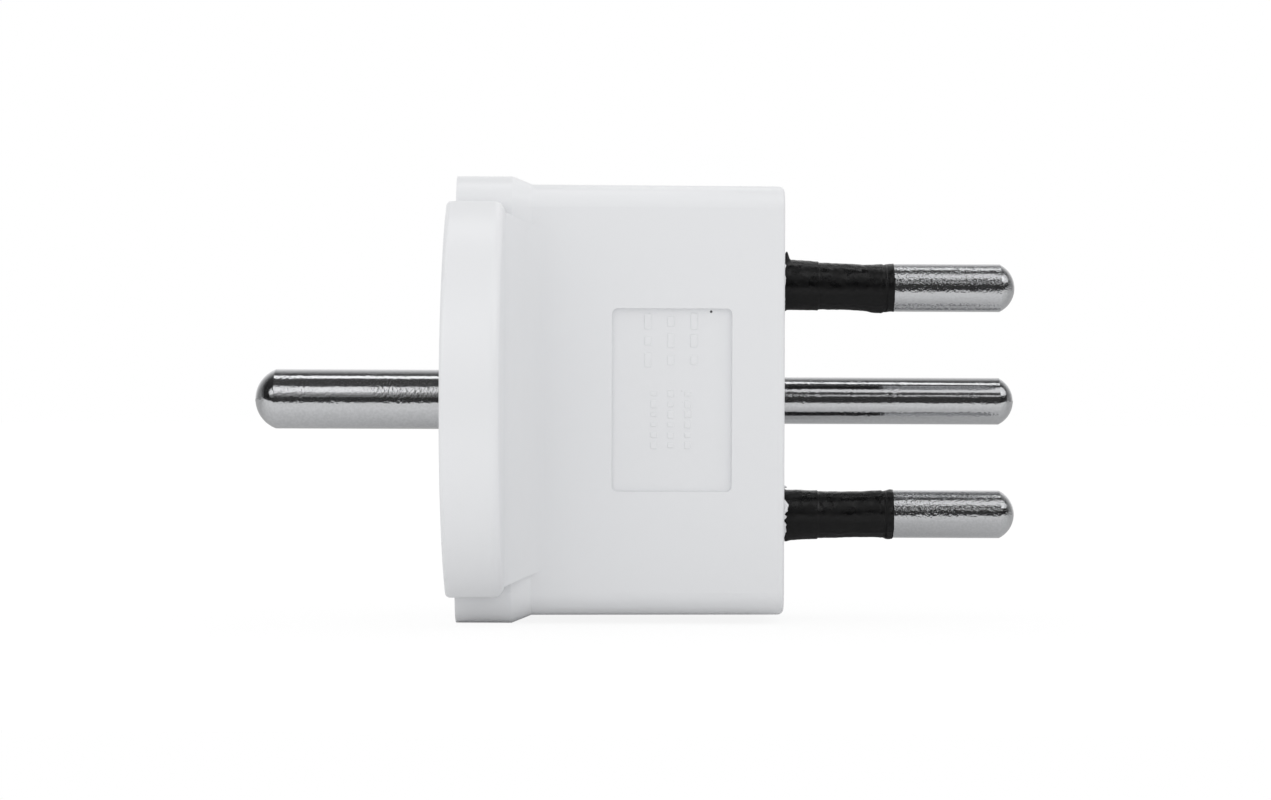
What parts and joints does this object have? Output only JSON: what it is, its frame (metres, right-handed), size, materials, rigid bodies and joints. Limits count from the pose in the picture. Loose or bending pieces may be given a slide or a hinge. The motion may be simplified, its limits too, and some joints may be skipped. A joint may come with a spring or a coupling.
{
  "type": "plug adapter",
  "caption": "Moulded mains plug adapter: round socket face with a standing earth pin on one side, round plug pins with insulating sleeves on the other.",
  "frame": {"origin": "on the plug face, midway between the two live pins", "axes": "+X along the plug pins, away from the housing; -Y the side with the recessed panel; +Z from one live pin towards the other, the line pin at +Z"},
  "size_m": [0.063, 0.037, 0.037],
  "materials": {
    "housing": "white moulded, satin gloss",
    "cover": "white moulded, fine matt",
    "pins": "bright nickel plated, fine draw lines",
    "sleeves": "black moulded, satin",
    "contacts": "bare stamped brass",
    "springs": "bright spring steel"
  },
  "bodies": {
    "root": {"body_shell": "housing", "socket_cover": "cover", "socket_earth_pin": "pins", "line_pin": "pins", "neutral_pin": "pins", "earth_pin": "pins", "line_pin_sleeve": "sleeves", "neutral_pin_sleeve": "sleeves", "line_contact": "contacts", "neutral_contact": "contacts", "earth_strap": "contacts", "line_contact_spring": "springs", "neutral_contact_spring": "springs"}
  },
  "joints": []
}
